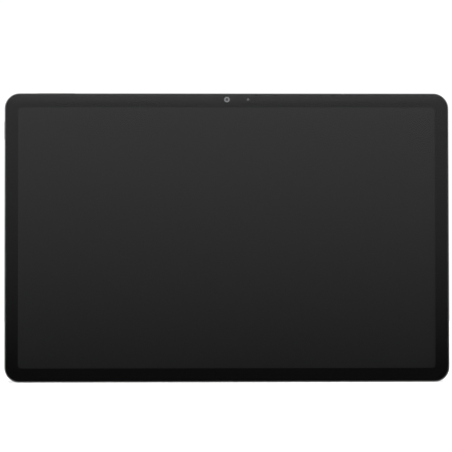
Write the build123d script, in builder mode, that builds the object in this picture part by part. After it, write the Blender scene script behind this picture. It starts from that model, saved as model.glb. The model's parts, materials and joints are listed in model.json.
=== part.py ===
"""Tablet computer with an 11 inch display, standing upright on its long lower edge.

The screen faces -Y, +Z is up and +X is to the right of someone looking at the screen. The origin is in
the middle of the lower edge. Lengths are millimetres. A depth is measured backwards from the front
face of the cover glass, and a range is written as (low, high).
"""

from build123d import *
import math
import os

# ---------------------------------------------------------------- driving dimensions
WIDTH = 252.4
HEIGHT = 164.0
THICKNESS = 7.0
CORNER_R = 8.6
DISPLAY_W = 236.9
DISPLAY_H = 148.1
DISPLAY_CORNER_R = 2.0
DISPLAY_X = -0.15
WALL = 3.0

HALF_W = WIDTH / 2
HALF_T = THICKNESS / 2
MID_Z = HEIGHT / 2

# ---------------------------------------------------------------- layers, front to back
GLASS_BACK = 0.8
MASK_BACK = GLASS_BACK + 0.05
SEAT = MASK_BACK + 0.15
LCD_BACK = SEAT + 0.9
BACKLIGHT_BACK = LCD_BACK + 0.7
TRAY_BACK = BACKLIGHT_BACK + 0.15
PLATE_FRONT = TRAY_BACK + 0.15
PLATE_BACK = PLATE_FRONT + 0.4
COVER_SHELF = 6.25
COVER_FRONT = 6.35
ISLAND_BACK = 8.2
LAYER_GAP = 0.1
FIT_GAP = 0.02

# ---------------------------------------------------------------- insets from the outline
RIM_WIDTH = 0.55
GLASS_INSET = 0.6
SEAL_INSET = 0.7
SEAL_WIDTH = 1.5
COVER_POCKET_INSET = 1.6
COVER_INSET = 1.7
PLATE_INSET = WALL + LAYER_GAP
PLATE_POWER_ROOM = (1.6, 15.2)
PLATE_ROCKER_ROOM = (26.0, 2.2)
PLATE_CAMERA_ROOM = 2.6
PANEL_MARGIN = 1.5
LIGHT_MARGIN = 2.0
TRAY_MARGIN = 2.5

# ---------------------------------------------------------------- side frame
FRAME_FRONT = 0.15
RIM_CHAMFER = 0.2
BACK_ROUND = 1.0
GLASS_EDGE_ROUND = 0.35
LUG_LENGTH = 5.0
LUG_REACH = 3.5
LUG_BACK = 4.7
LUG_SCREW_INSET = WALL + 1.9
LUG_OVERLAP = 0.5
SIDE_LUG_Z = (13.0, 72.0, 129.0)
RIGHT_LUG_Z = (13.0, 60.0, 155.0)
TOP_LUG_X = (-20.0, 20.0, 95.0)
BOTTOM_LUG_X = (-105.0, -65.0, 65.0, 105.0)
STRIP_X = (-66.0, 66.0)
STRIP_WIDTH = 1.2
STRIP_DEEP = 1.4

# ---------------------------------------------------------------- screws
SHAFT_R = 0.65
THREAD_HOLE_R = 0.7
LOOSE_HOLE_R = 0.8
HEAD_R = 1.15
HEAD_T = 0.5
SOCKET_R = 0.45
SOCKET_DEEP = 0.3

# ---------------------------------------------------------------- front camera and light sensor
FRONT_CAMERA_Z = HEIGHT - 3.4
CAMERA_WINDOW_R = 1.56
CAMERA_RING_R = 1.75
CAMERA_LENS_R = 0.8
CAMERA_RING_DEPTH = (0.95, 1.5)
FRONT_MODULE_W = 5.6
FRONT_MODULE_H = 4.0
FRONT_MODULE_BACK = 4.6
CAMERA_NOTCH_W = 6.4
CAMERA_NOTCH_H = 4.4
SEAL_NOTCH_H = 2 * CAMERA_RING_R + 0.1
CAMERA_RING_CHAMFER = 0.2
CAMERA_LENS_T = 0.35
CAMERA_LENS_ROUND = 0.15
SENSOR_X = 12.0
SENSOR_W = 2.4
SENSOR_H = 1.5

# ---------------------------------------------------------------- keys
KEY_DEPTH = 3.9
KEY_THICK = 2.2
KEY_GAP = 0.1
KEY_PROUD = 0.4
POWER_Z = 143.1
POWER_LENGTH = 10.2
POWER_TRAVEL = 0.3
FLANGE_OVERHANG = 1.1
POWER_FLANGE_T = 0.4
FLANGE_REST_GAP = 0.05
PUSHER_R = 0.7
PUSHER_LENGTH = 0.45
SWITCH_W = 4.4
SWITCH_D = 1.6
SWITCH_T = 1.0
SWITCH_SET_BACK = 0.3
KEY_EDGE_ROUND = 0.25
STIFFENER_BACK = 5.2
STIFFENER_T = 0.3
FLEX_TRACK_W = 2.0
FLEX_TAIL_LENGTH = 10.0

ROCKER_X = -97.0
ROCKER_LENGTH = 22.0
ROCKER_THICK = 2.0
ROCKER_PROUD = 0.35
ROCKER_GAP = 0.15
ROCKER_FLANGE_Z = (160.15, 160.65)
ROCKER_FLANGE_LENGTH = ROCKER_LENGTH + 2.0
ROCKER_FLANGE_THICK = ROCKER_THICK + 1.2
ROCKER_PUSHER_X = 7.0
ROCKER_PUSHER_LENGTH = 0.3
VOLUME_SWITCH_Z = (158.9, 159.55)

# ---------------------------------------------------------------- ports and side openings
PORT_DEPTH = 4.4
USB_Z = MID_Z
USB_OPENING = (9.1, 3.36)
USB_SHELL = (8.94, 3.16)
USB_MOUTH = (8.34, 2.56)
USB_X = (118.4, HALF_W - 0.5)
USB_BACK_WALL = 0.3
USB_BASE_LENGTH = 1.3
TONGUE_W = 6.69
TONGUE_T = 0.7
TONGUE_END_X = 124.9
CONTACT_PITCH = 0.5
CONTACT_W = 0.25
CONTACT_T = 0.03
CONTACT_LENGTH = 3.4
CONTACT_FROM_TIP = 0.3
CONTACTS_PER_SIDE = 12

TRAY_Z = 138.0
CAP_LENGTH = 17.4
CAP_HEIGHT = 2.4
CAP_T = 1.0
CAP_GAP = 0.1
BLADE_W = 13.4
BLADE_T = 1.3
BLADE_LENGTH = 18.0
CARD_W = 11.2
CARD_LENGTH = 15.2
CARD_FLOOR = 0.45
CARD_WINDOW_L = 6.0
CARD_WINDOW_W = CARD_W - 2.0
CARD_WINDOW_INWARDS = 3.0
BLADE_CORNER_R = 1.0
SLOT_W = 14.2
SLOT_H = 2.0
GASKET_W = 14.0
GASKET_H = 1.8
GASKET_T = 0.6
READER_X = (104.3, 122.4)
READER_W = 16.4
READER_H = 2.0
READER_MOUTH_W = 14.0
READER_MOUTH_H = 1.6
READER_REAR_WALL = 0.5
EJECT_Z = TRAY_Z - CAP_LENGTH / 2 - 2.3
EJECT_R = 0.55

GRILLE_Z = (36.0, 108.0)
GRILLE_HOLES = 12
GRILLE_PITCH = 2.0
GRILLE_R = 0.55
MIC_X = (-74.0, 74.0)
MIC_R = 0.4

# ---------------------------------------------------------------- speakers
SPEAKER_X = (108.6, 122.9)
SPEAKER_L = 30.0
SPEAKER_DEPTH = (3.4, 5.8)
SPEAKER_CORNER_R = 2.0
DIAPHRAGM_MARGIN = 2.2
DIAPHRAGM_DEEP = 0.5
SPEAKER_PORT_H = 1.6
SPEAKER_PORT_L = 25.0
SPEAKER_PORT_DEEP = 1.5
MESH_T = 0.15
MESH_L = 26.0
MESH_H = 2.0

# ---------------------------------------------------------------- battery and boards
CELL_Z = (13.0, 136.0)
LEFT_CELL_X = (-62.0, 20.0)
RIGHT_CELL_X = (22.0, 97.0)
CELL_DEPTH = (3.45, 5.95)
CELL_ROUND = 0.8
BATTERY_BOARD_X = (-56.0, 90.0)
BATTERY_BOARD_Z = (136.0, 140.0)
BATTERY_LEAD_X = (-70.0, -56.0)
BATTERY_LEAD_Z = (136.5, 139.5)
BATTERY_BOARD_DEPTH = (4.3, 4.9)

BOARD_DEPTH = (3.6, 4.3)
BOARD_LOWER_X = (-105.5, -66.0)
BOARD_LOWER_Z = (14.0, 122.0)
BOARD_UPPER_X = (-98.0, -66.0)
BOARD_UPPER_Z = (122.0, 154.0)
BOARD_SCREWS = ((-102.5, 17.0), (-69.0, 17.0), (-102.5, 119.0), (-69.0, 151.0))
STANDOFF_R = 1.6
CAN_T = 0.2
CAN_BACK = 5.9
CANS = (
    ((-98.0, -70.0), (84.0, 112.0)),
    ((-101.0, -72.0), (48.0, 78.0)),
    ((-94.0, -72.0), (126.0, 147.0)),
)
CHIP_W = 13.0
CHIP_L = 12.0
CHIP_T = 1.0
CHIP_ABOVE_MIDDLE = 3.5
SMALL_CHIP_W = 4.0
SMALL_CHIP_L = 3.5
SMALL_CHIP_T = 0.7
SMALL_CHIP_PITCH = 6.0
SMALL_CHIP_MARGIN = 4.0
GRAPHITE_X = (-102.0, -68.0)
GRAPHITE_Z = (44.0, 150.0)

SUB_STRIP_X = (99.0, 104.0)
SUB_STRIP_Z = (64.0, 150.0)
SUB_WING_X = (104.0, 122.4)
SUB_WING_Z = (68.0, 92.0)
RECEPTACLE_NOTCH_X = 118.2
RECEPTACLE_NOTCH_H = 10.0
LINK_X = (-72.0, 101.5)
LINK_Z = (141.5, 148.0)
LINK_DEPTH = (3.35, 3.47)
LINK_MAIN_PLUG_W = 5.0
LINK_SUB_PLUG_W = 3.0

DRIVER_X = (-60.0, 60.0)
DRIVER_Z = (5.0, 10.0)
DRIVER_DEPTH = (3.5, 4.0)
FLEX_W = 40.0
FLEX_T = 0.12
FLEX_DEPTH = (1.4, 4.12)
FLEX_Z = (4.0, 6.45)

# ---------------------------------------------------------------- rear camera island
ISLAND_X = -108.0
ISLAND_Z = 139.5
ISLAND_W = 15.5
ISLAND_L = 31.0
ISLAND_RIM = 1.05
ISLAND_LEDGE = 1.1
ISLAND_ROUND = 0.4
WINDOW_GAP = 0.05
WINDOW_SEAT = 7.75
WINDOW_MASK_BACK = 7.8
LENS_Z = ISLAND_Z + ISLAND_W / 2
FLASH_Z = ISLAND_Z - ISLAND_W / 2
LENS_OPENING_R = 3.1
FLASH_OPENING_R = 2.3
REAR_MODULE_W = 10.0
REAR_MODULE_DEPTH = (3.35, 6.15)
SLEEVE_R = 4.7
SLEEVE_BORE_R = 3.5
SLEEVE_BACK = 7.6
SLEEVE_FLOOR = 4.6
BARREL_R = 3.3
BARREL_DEPTH = (4.95, 7.35)
BARREL_MOUTH_R = 2.5
BARREL_STEPS = 3
BARREL_STEP_DEEP = 0.3
REAR_LENS_R = 1.75
REAR_LENS_BULGE = 0.35
REAR_LENS_EDGE = 0.15
FLASH_POST_W = 5.0
FLASH_POST_BACK = 6.5
FLASH_CHIP_W = 3.2
FLASH_CHIP_BACK = 7.2

# ---------------------------------------------------------------- sundry inner pieces
ANTENNA_X = (-45.0, 45.0)
ANTENNA_L = 30.0
ANTENNA_Z = (155.5, 160.5)
ANTENNA_DEPTH = (3.4, 5.6)
MAGNET_X = (-80.0, -50.0, 50.0, 80.0)
MAGNET_L = 20.0
MAGNET_Z = (WALL, 6.5)
MAGNET_DEPTH = (4.4, 5.9)
MIC_PACKAGE_W = 4.0
MIC_PACKAGE_Z = (159.4, 160.9)
MIC_PACKAGE_H = 1.4
PAD_X = (-8.0, 0.0, 8.0)
PAD_Z = 8.5
PAD_R = 1.6
PAD_BOSS_R = 1.9
PAD_RECESS = 0.05
INSULATOR_L = 26.0
INSULATOR_H = 7.0
INSULATOR_FRONT = 5.5


# ---------------------------------------------------------------- helpers
def at_depth(depth):
    """Plane parallel to the screen at this depth; extrusions from it go towards the front."""
    return Plane.XZ.offset(HALF_T - depth)


def outline(inset):
    """The tablet's rounded outline, moved inwards by inset, in the open sketch."""
    with Locations((0, MID_Z)):
        RectangleRounded(WIDTH - 2 * inset, HEIGHT - 2 * inset, CORNER_R - inset)


def display_area(margin, corner_r):
    """The lit area widened by a margin, in the open sketch."""
    with Locations((DISPLAY_X, MID_Z)):
        RectangleRounded(DISPLAY_W + 2 * margin, DISPLAY_H + 2 * margin, corner_r)


def patch(x_range, z_range):
    """Rectangle between two values of x and two of z, in the open sketch."""
    with Locations((sum(x_range) / 2, sum(z_range) / 2)):
        Rectangle(x_range[1] - x_range[0], z_range[1] - z_range[0])


def pill(width, length):
    """Upright slot shape at the rear camera island, in the open sketch."""
    with Locations((ISLAND_X, ISLAND_Z)):
        SlotOverall(length, width, rotation=90)


def around(middle, span):
    """Range of this span about a middle value."""
    return (middle - span / 2, middle + span / 2)


def y_at(depth):
    """The y coordinate of a depth."""
    return depth - HALF_T


# Place of each mid plate screw, as (x, z)
LUG_SCREWS = (
    [(LUG_SCREW_INSET - HALF_W, z) for z in SIDE_LUG_Z]
    + [(HALF_W - LUG_SCREW_INSET, z) for z in RIGHT_LUG_Z]
    + [(x, HEIGHT - LUG_SCREW_INSET) for x in TOP_LUG_X]
    + [(x, LUG_SCREW_INSET) for x in BOTTOM_LUG_X]
)

# ================================================================ display stack
with BuildPart() as cover_glass:
    with BuildSketch(at_depth(GLASS_BACK)):
        outline(GLASS_INSET)
    extrude(amount=GLASS_BACK)
    fillet(cover_glass.edges().group_by(Axis.Y)[0], GLASS_EDGE_ROUND)

with BuildPart() as bezel_mask:
    with BuildSketch(at_depth(MASK_BACK)):
        outline(GLASS_INSET)
        with BuildSketch(at_depth(MASK_BACK), mode=Mode.SUBTRACT):
            display_area(0, DISPLAY_CORNER_R)
            with Locations((0, FRONT_CAMERA_Z)):
                Circle(CAMERA_WINDOW_R)
            with Locations((SENSOR_X, FRONT_CAMERA_Z)):
                Circle(SENSOR_H / 2)
    extrude(amount=MASK_BACK - GLASS_BACK)

with BuildPart() as optical_adhesive:
    with BuildSketch(at_depth(SEAT)):
        display_area(PANEL_MARGIN, DISPLAY_CORNER_R)
    extrude(amount=SEAT - MASK_BACK)
    with BuildSketch(at_depth(MASK_BACK)):
        display_area(0, DISPLAY_CORNER_R)
    extrude(amount=MASK_BACK - GLASS_BACK)

with BuildPart() as display_adhesive:
    with BuildSketch(at_depth(SEAT)):
        outline(SEAL_INSET)
        with BuildSketch(at_depth(SEAT), mode=Mode.SUBTRACT):
            outline(SEAL_INSET + SEAL_WIDTH)
            patch(around(0, CAMERA_NOTCH_W), around(FRONT_CAMERA_Z, SEAL_NOTCH_H))
    extrude(amount=SEAT - MASK_BACK)

with BuildPart() as lcd_panel:
    with BuildSketch(at_depth(LCD_BACK)):
        display_area(PANEL_MARGIN, DISPLAY_CORNER_R)
    extrude(amount=LCD_BACK - SEAT)

with BuildPart() as backlight_unit:
    with BuildSketch(at_depth(BACKLIGHT_BACK)):
        display_area(LIGHT_MARGIN, DISPLAY_CORNER_R)
    extrude(amount=BACKLIGHT_BACK - LCD_BACK)

with BuildPart() as display_tray:
    with BuildSketch(at_depth(TRAY_BACK)):
        display_area(TRAY_MARGIN, DISPLAY_CORNER_R)
    extrude(amount=TRAY_BACK - LCD_BACK)
    with BuildSketch(at_depth(BACKLIGHT_BACK)):
        display_area(LIGHT_MARGIN, DISPLAY_CORNER_R)
    extrude(amount=BACKLIGHT_BACK - LCD_BACK, mode=Mode.SUBTRACT)

with BuildPart() as display_driver_board:
    with BuildSketch(at_depth(DRIVER_DEPTH[1])):
        patch(DRIVER_X, DRIVER_Z)
    extrude(amount=DRIVER_DEPTH[1] - DRIVER_DEPTH[0])

with BuildPart() as display_flex:
    with BuildSketch(Plane.YZ):
        patch((y_at(FLEX_DEPTH[0]), y_at(FLEX_DEPTH[1])), FLEX_Z)
        with Locations((y_at(FLEX_DEPTH[0]) + FLEX_T, FLEX_Z[0] + FLEX_T)):
            inner_depth = FLEX_DEPTH[1] - FLEX_DEPTH[0] - 2 * FLEX_T
            Rectangle(inner_depth, FLEX_Z[1], align=Align.MIN, mode=Mode.SUBTRACT)
    extrude(amount=FLEX_W / 2, both=True)

# ================================================================ frame, plate and back
with BuildPart() as frame_blank:
    with BuildSketch(at_depth(THICKNESS)):
        outline(0)
    extrude(amount=THICKNESS - FRAME_FRONT)
    fillet(frame_blank.edges().group_by(Axis.Y)[-1], BACK_ROUND)
    chamfer(frame_blank.edges().group_by(Axis.Y)[0], RIM_CHAMFER)

with BuildPart() as strip_zone:
    with BuildSketch(at_depth(THICKNESS + 1)):
        for x in STRIP_X:
            patch(around(x, STRIP_WIDTH), (HEIGHT - STRIP_DEEP, HEIGHT + 1))
            patch(around(x, STRIP_WIDTH), (-1, STRIP_DEEP))
    extrude(amount=THICKNESS + 2)

with BuildPart() as antenna_strips:
    add(frame_blank.part)
    add(strip_zone.part, mode=Mode.INTERSECT)
    with BuildSketch(at_depth(SEAT)):
        outline(RIM_WIDTH)
    extrude(amount=SEAT, mode=Mode.SUBTRACT)

with BuildPart() as side_frame:
    add(frame_blank.part)
    with BuildSketch(at_depth(SEAT)):
        outline(RIM_WIDTH)
    extrude(amount=SEAT, mode=Mode.SUBTRACT)
    with BuildSketch(at_depth(THICKNESS)):
        outline(WALL)
    extrude(amount=THICKNESS, mode=Mode.SUBTRACT)
    with BuildSketch(at_depth(THICKNESS)):
        outline(COVER_POCKET_INSET)
    extrude(amount=THICKNESS - COVER_SHELF, mode=Mode.SUBTRACT)
    add(strip_zone.part, mode=Mode.SUBTRACT)
    # room in the upper wall for the front camera and the light sensor
    with BuildSketch(at_depth(FRONT_MODULE_BACK + LAYER_GAP)):
        patch(around(0, CAMERA_NOTCH_W), around(FRONT_CAMERA_Z, CAMERA_NOTCH_H))
        patch(around(SENSOR_X, SENSOR_W + 1.0), around(FRONT_CAMERA_Z, SENSOR_H + 1.0))
    extrude(amount=FRONT_MODULE_BACK, mode=Mode.SUBTRACT)
    # lugs that carry the mid plate
    with BuildSketch(at_depth(LUG_BACK)):
        for z in SIDE_LUG_Z:
            patch((WALL - HALF_W - LUG_OVERLAP, WALL - HALF_W + LUG_REACH), around(z, LUG_LENGTH))
        for z in RIGHT_LUG_Z:
            patch((HALF_W - WALL - LUG_REACH, HALF_W - WALL + LUG_OVERLAP), around(z, LUG_LENGTH))
        for x in TOP_LUG_X:
            patch(around(x, LUG_LENGTH), (HEIGHT - WALL - LUG_REACH, HEIGHT - WALL + LUG_OVERLAP))
        for x in BOTTOM_LUG_X:
            patch(around(x, LUG_LENGTH), (WALL - LUG_OVERLAP, WALL + LUG_REACH))
    extrude(amount=LUG_BACK - PLATE_BACK)
    with BuildSketch(at_depth(LUG_BACK)):
        with Locations(LUG_SCREWS):
            Circle(LOOSE_HOLE_R)
    extrude(amount=LUG_BACK - PLATE_BACK, mode=Mode.SUBTRACT)
    # slots for the two keys
    with BuildSketch(Plane.YZ.offset(-HALF_W - 1)):
        with Locations((y_at(KEY_DEPTH), POWER_Z)):
            SlotOverall(POWER_LENGTH + 2 * KEY_GAP, KEY_THICK + 2 * KEY_GAP, rotation=90)
    extrude(amount=WALL + 2, mode=Mode.SUBTRACT)
    with BuildSketch(Plane.XY.offset(HEIGHT + 1)):
        with Locations((ROCKER_X, y_at(KEY_DEPTH))):
            SlotOverall(ROCKER_LENGTH + 2 * ROCKER_GAP, ROCKER_THICK + 2 * ROCKER_GAP)
    extrude(amount=-WALL - 2, mode=Mode.SUBTRACT)
    # connector, card tray and eject hole in the right wall
    with BuildSketch(Plane.YZ.offset(HALF_W + 1)):
        with Locations((y_at(PORT_DEPTH), USB_Z)):
            SlotOverall(*USB_OPENING, rotation=90)
        with Locations((y_at(PORT_DEPTH), TRAY_Z)):
            RectangleRounded(SLOT_H, SLOT_W, 0.3)
        with Locations((y_at(PORT_DEPTH), EJECT_Z)):
            Circle(EJECT_R)
    extrude(amount=-WALL - 2, mode=Mode.SUBTRACT)
    with BuildSketch(Plane.YZ.offset(HALF_W)):
        with Locations((y_at(PORT_DEPTH), TRAY_Z)):
            SlotOverall(CAP_LENGTH + 2 * CAP_GAP, CAP_HEIGHT + 2 * CAP_GAP, rotation=90)
    extrude(amount=-CAP_T - CAP_GAP, mode=Mode.SUBTRACT)
    # speaker grilles in both short walls, microphone holes in the upper wall
    with BuildSketch(Plane.YZ.offset(-HALF_W - 1)):
        with Locations([(y_at(PORT_DEPTH), z) for z in GRILLE_Z]):
            with GridLocations(1, GRILLE_PITCH, 1, GRILLE_HOLES):
                Circle(GRILLE_R)
    extrude(amount=WIDTH + 2, mode=Mode.SUBTRACT)
    with BuildSketch(Plane.XY.offset(HEIGHT + 1)):
        with Locations([(x, y_at(PORT_DEPTH)) for x in MIC_X]):
            Circle(MIC_R)
    extrude(amount=-WALL - 2, mode=Mode.SUBTRACT)

with BuildPart() as mid_plate:
    with BuildSketch(at_depth(PLATE_BACK)):
        outline(PLATE_INSET)
    extrude(amount=PLATE_BACK - PLATE_FRONT)
    with BuildSketch(at_depth(BOARD_DEPTH[0])):
        with Locations(BOARD_SCREWS):
            Circle(STANDOFF_R)
    extrude(amount=BOARD_DEPTH[0] - PLATE_BACK)
    with BuildSketch(at_depth(BOARD_DEPTH[0])):
        with Locations(BOARD_SCREWS + tuple(LUG_SCREWS)):
            Circle(THREAD_HOLE_R)
        # room for the keys, the front camera, the connector and the display flex
        patch((-HALF_W, -HALF_W + WALL + PLATE_POWER_ROOM[0]), around(POWER_Z, PLATE_POWER_ROOM[1]))
        patch(around(ROCKER_X, PLATE_ROCKER_ROOM[0]), (HEIGHT - WALL - PLATE_ROCKER_ROOM[1], HEIGHT))
        patch(around(0, CAMERA_NOTCH_W), (HEIGHT - WALL - PLATE_CAMERA_ROOM, HEIGHT))
        patch((USB_X[0] - 0.2, HALF_W), around(USB_Z, RECEPTACLE_NOTCH_H))
        patch(around(0, FLEX_W + 2), (0, FLEX_Z[0] + 1.0))
    extrude(amount=BOARD_DEPTH[0], mode=Mode.SUBTRACT)

with BuildPart() as mid_plate_screws:
    with BuildSketch(at_depth(LUG_BACK)):
        with Locations(LUG_SCREWS):
            Circle(SHAFT_R)
    extrude(amount=LUG_BACK - PLATE_FRONT)
    with BuildSketch(at_depth(LUG_BACK + HEAD_T)):
        with Locations(LUG_SCREWS):
            Circle(HEAD_R)
    extrude(amount=HEAD_T)
    with BuildSketch(at_depth(LUG_BACK + HEAD_T)):
        with Locations(LUG_SCREWS):
            RegularPolygon(SOCKET_R, 6)
    extrude(amount=SOCKET_DEEP, mode=Mode.SUBTRACT)

with BuildPart() as back_adhesive:
    with BuildSketch(at_depth(COVER_FRONT)):
        outline(COVER_INSET + LAYER_GAP)
        with BuildSketch(at_depth(COVER_FRONT), mode=Mode.SUBTRACT):
            outline(WALL - LAYER_GAP)
    extrude(amount=COVER_FRONT - COVER_SHELF)

with BuildPart() as back_cover:
    with BuildSketch(at_depth(THICKNESS)):
        outline(COVER_INSET)
        with BuildSketch(at_depth(THICKNESS), mode=Mode.SUBTRACT):
            pill(ISLAND_W - 2 * (ISLAND_RIM + ISLAND_LEDGE), ISLAND_L - 2 * (ISLAND_RIM + ISLAND_LEDGE))
            with Locations([(x, PAD_Z) for x in PAD_X]):
                Circle(PAD_BOSS_R)
    extrude(amount=THICKNESS - COVER_FRONT)

# ================================================================ battery and boards
with BuildPart() as battery_cell_left:
    with BuildSketch(at_depth(CELL_DEPTH[1])):
        patch(LEFT_CELL_X, CELL_Z)
    extrude(amount=CELL_DEPTH[1] - CELL_DEPTH[0])
    fillet(battery_cell_left.edges(), CELL_ROUND)

with BuildPart() as battery_cell_right:
    with BuildSketch(at_depth(CELL_DEPTH[1])):
        patch(RIGHT_CELL_X, CELL_Z)
    extrude(amount=CELL_DEPTH[1] - CELL_DEPTH[0])
    fillet(battery_cell_right.edges(), CELL_ROUND)

with BuildPart() as battery_board:
    with BuildSketch(at_depth(BATTERY_BOARD_DEPTH[1])):
        patch(BATTERY_BOARD_X, BATTERY_BOARD_Z)
    extrude(amount=BATTERY_BOARD_DEPTH[1] - BATTERY_BOARD_DEPTH[0])
    with BuildSketch(at_depth(BATTERY_BOARD_DEPTH[1])):
        patch(BATTERY_LEAD_X, BATTERY_LEAD_Z)
    extrude(amount=FLEX_T)

with BuildPart() as main_board:
    with BuildSketch(at_depth(BOARD_DEPTH[1])):
        patch(BOARD_LOWER_X, BOARD_LOWER_Z)
        patch(BOARD_UPPER_X, BOARD_UPPER_Z)
        with Locations(BOARD_SCREWS):
            Circle(LOOSE_HOLE_R, mode=Mode.SUBTRACT)
    extrude(amount=BOARD_DEPTH[1] - BOARD_DEPTH[0])

with BuildPart() as board_screws:
    with BuildSketch(at_depth(BOARD_DEPTH[1])):
        with Locations(BOARD_SCREWS):
            Circle(SHAFT_R)
    extrude(amount=BOARD_DEPTH[1] - PLATE_FRONT)
    with BuildSketch(at_depth(BOARD_DEPTH[1] + HEAD_T)):
        with Locations(BOARD_SCREWS):
            Circle(HEAD_R)
    extrude(amount=HEAD_T)
    with BuildSketch(at_depth(BOARD_DEPTH[1] + HEAD_T)):
        with Locations(BOARD_SCREWS):
            RegularPolygon(SOCKET_R, 6)
    extrude(amount=SOCKET_DEEP, mode=Mode.SUBTRACT)

with BuildPart() as board_chips:
    with BuildSketch(at_depth(BOARD_DEPTH[1] + CHIP_T)):
        for can_x, can_z in CANS:
            with Locations((sum(can_x) / 2, sum(can_z) / 2 + CHIP_ABOVE_MIDDLE)):
                Rectangle(CHIP_W, CHIP_L)
    extrude(amount=CHIP_T)
    with BuildSketch(at_depth(BOARD_DEPTH[1] + SMALL_CHIP_T)):
        for can_x, can_z in CANS:
            with Locations((sum(can_x) / 2, can_z[0] + SMALL_CHIP_MARGIN)):
                with GridLocations(SMALL_CHIP_PITCH, 1, 3, 1):
                    Rectangle(SMALL_CHIP_W, SMALL_CHIP_L)
    extrude(amount=SMALL_CHIP_T)

with BuildPart() as board_shields:
    with BuildSketch(at_depth(CAN_BACK)):
        for can_x, can_z in CANS:
            patch(can_x, can_z)
    extrude(amount=CAN_BACK - BOARD_DEPTH[1])
    with BuildSketch(at_depth(CAN_BACK - CAN_T)):
        for can_x, can_z in CANS:
            patch((can_x[0] + CAN_T, can_x[1] - CAN_T), (can_z[0] + CAN_T, can_z[1] - CAN_T))
    extrude(amount=CAN_BACK - CAN_T - BOARD_DEPTH[1], mode=Mode.SUBTRACT)

with BuildPart() as graphite_sheet:
    with BuildSketch(at_depth(COVER_FRONT)):
        patch(GRAPHITE_X, GRAPHITE_Z)
    extrude(amount=FLEX_T)

with BuildPart() as sub_board:
    with BuildSketch(at_depth(BOARD_DEPTH[1])):
        patch(SUB_STRIP_X, SUB_STRIP_Z)
        patch(SUB_WING_X, SUB_WING_Z)
        with BuildSketch(at_depth(BOARD_DEPTH[1]), mode=Mode.SUBTRACT):
            patch((RECEPTACLE_NOTCH_X, HALF_W), around(USB_Z, RECEPTACLE_NOTCH_H))
    extrude(amount=BOARD_DEPTH[1] - BOARD_DEPTH[0])

with BuildPart() as interconnect_flex:
    with BuildSketch(at_depth(LINK_DEPTH[1])):
        patch(LINK_X, LINK_Z)
    extrude(amount=LINK_DEPTH[1] - LINK_DEPTH[0])
    with BuildSketch(at_depth(BOARD_DEPTH[0])):
        patch((LINK_X[0], LINK_X[0] + LINK_MAIN_PLUG_W), LINK_Z)
        patch((LINK_X[1] - LINK_SUB_PLUG_W, LINK_X[1]), LINK_Z)
    extrude(amount=BOARD_DEPTH[0] - LINK_DEPTH[1])

# ================================================================ connector
with BuildPart() as usb_c_shell:
    with BuildSketch(Plane.YZ.offset(USB_X[0])):
        with Locations((y_at(PORT_DEPTH), USB_Z)):
            SlotOverall(*USB_SHELL, rotation=90)
    extrude(amount=USB_X[1] - USB_X[0])
    with BuildSketch(Plane.YZ.offset(USB_X[0] + USB_BACK_WALL)):
        with Locations((y_at(PORT_DEPTH), USB_Z)):
            SlotOverall(*USB_MOUTH, rotation=90)
    extrude(amount=USB_X[1] - USB_X[0], mode=Mode.SUBTRACT)

with BuildPart() as usb_c_tongue:
    with BuildSketch(Plane.YZ.offset(USB_X[0] + USB_BACK_WALL)):
        with Locations((y_at(PORT_DEPTH), USB_Z)):
            SlotOverall(USB_MOUTH[0] - LAYER_GAP, USB_MOUTH[1] - LAYER_GAP, rotation=90)
    extrude(amount=USB_BASE_LENGTH)
    with BuildSketch(Plane.YZ.offset(USB_X[0] + USB_BACK_WALL + USB_BASE_LENGTH)):
        with Locations((y_at(PORT_DEPTH), USB_Z)):
            Rectangle(TONGUE_T, TONGUE_W)
    extrude(amount=TONGUE_END_X - USB_X[0] - USB_BACK_WALL - USB_BASE_LENGTH)

with BuildPart() as usb_c_contacts:
    for face in (-1, 1):
        contact_y = y_at(PORT_DEPTH) + face * (TONGUE_T + CONTACT_T) / 2
        with BuildSketch(Plane.YZ.offset(TONGUE_END_X - CONTACT_FROM_TIP)):
            with Locations((contact_y, USB_Z)):
                with GridLocations(1, CONTACT_PITCH, 1, CONTACTS_PER_SIDE):
                    Rectangle(CONTACT_T, CONTACT_W)
        extrude(amount=-CONTACT_LENGTH)

# ================================================================ card tray and reader
with BuildPart() as card_reader:
    with BuildSketch(Plane.YZ.offset(READER_X[0])):
        with Locations((y_at(PORT_DEPTH), TRAY_Z)):
            Rectangle(READER_H, READER_W)
    extrude(amount=READER_X[1] - READER_X[0])
    with BuildSketch(Plane.YZ.offset(READER_X[0] + READER_REAR_WALL)):
        with Locations((y_at(PORT_DEPTH), TRAY_Z)):
            Rectangle(READER_MOUTH_H, READER_MOUTH_W)
    extrude(amount=READER_X[1] - READER_X[0], mode=Mode.SUBTRACT)

card_x = HALF_W - CAP_T - BLADE_LENGTH / 2
with BuildPart() as card_tray:
    with BuildSketch(Plane.YZ.offset(HALF_W)):
        with Locations((y_at(PORT_DEPTH), TRAY_Z)):
            SlotOverall(CAP_LENGTH, CAP_HEIGHT, rotation=90)
    extrude(amount=-CAP_T)
    with BuildSketch(Plane.YZ.offset(HALF_W - CAP_T)):
        with Locations((y_at(PORT_DEPTH), TRAY_Z)):
            Rectangle(BLADE_T, BLADE_W)
    extrude(amount=-BLADE_LENGTH)
    fillet(card_tray.edges().filter_by(Axis.Y).group_by(Axis.X)[0], BLADE_CORNER_R)
    # pocket for the memory card, open towards the back, with a window in its floor
    with BuildSketch(at_depth(PORT_DEPTH + BLADE_T / 2)):
        patch(around(card_x, CARD_LENGTH), around(TRAY_Z, CARD_W))
    extrude(amount=BLADE_T - CARD_FLOOR, mode=Mode.SUBTRACT)
    with BuildSketch(at_depth(PORT_DEPTH + BLADE_T / 2)):
        patch(around(card_x - CARD_WINDOW_INWARDS, CARD_WINDOW_L), around(TRAY_Z, CARD_WINDOW_W))
    extrude(amount=BLADE_T, mode=Mode.SUBTRACT)

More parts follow.
